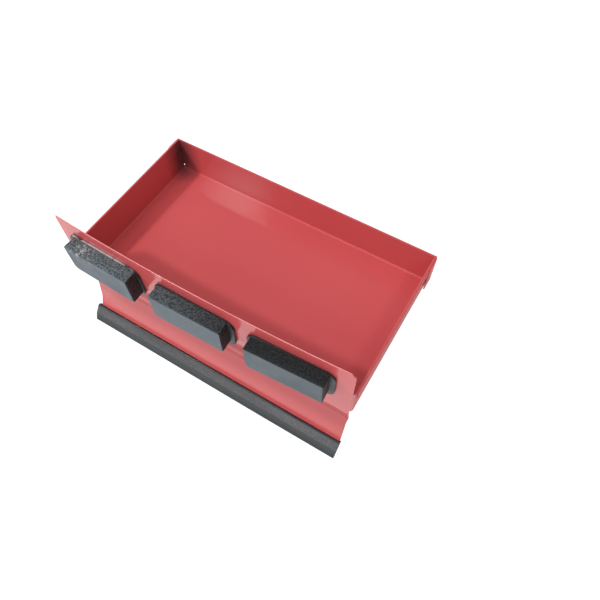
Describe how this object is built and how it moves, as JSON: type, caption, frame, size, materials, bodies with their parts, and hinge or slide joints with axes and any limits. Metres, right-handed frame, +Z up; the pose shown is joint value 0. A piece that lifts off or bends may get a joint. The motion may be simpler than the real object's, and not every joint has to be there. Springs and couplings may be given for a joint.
{
  "type": "magnetic tool tray",
  "caption": "Folded sheet steel tool tray with a tall panel carrying magnets and a rubber edged lip below, to hang on a steel cabinet.",
  "frame": {"origin": "middle of the centre magnet's contact face, in the plane of the cabinet the tray hangs on", "axes": "+X along the tray, +Y away from the cabinet into the tray, +Z up"},
  "size_m": [0.3142, 0.182, 0.1684],
  "materials": {
    "red_paint": "gloss",
    "magnet_rubber": "matt",
    "edging_rubber": "satin",
    "ferrite": "matt",
    "pole_steel": "zinc plated",
    "black_steel": "satin",
    "rivet_zinc": "zinc plated"
  },
  "bodies": {
    "root": {"tray_pan": "red_paint", "mount_panel": "red_paint", "edging_strip": "edging_rubber", "panel_rivets": "rivet_zinc", "rivet_washers": "rivet_zinc", "magnet_cover_left": "magnet_rubber", "ferrite_block_left": "ferrite", "upper_pole_left": "pole_steel", "lower_pole_left": "pole_steel", "base_plate_left": "black_steel", "magnet_cover_centre": "magnet_rubber", "ferrite_block_centre": "ferrite", "upper_pole_centre": "pole_steel", "lower_pole_centre": "pole_steel", "base_plate_centre": "black_steel", "magnet_cover_right": "magnet_rubber", "ferrite_block_right": "ferrite", "upper_pole_right": "pole_steel", "lower_pole_right": "pole_steel", "base_plate_right": "black_steel"}
  },
  "joints": []
}
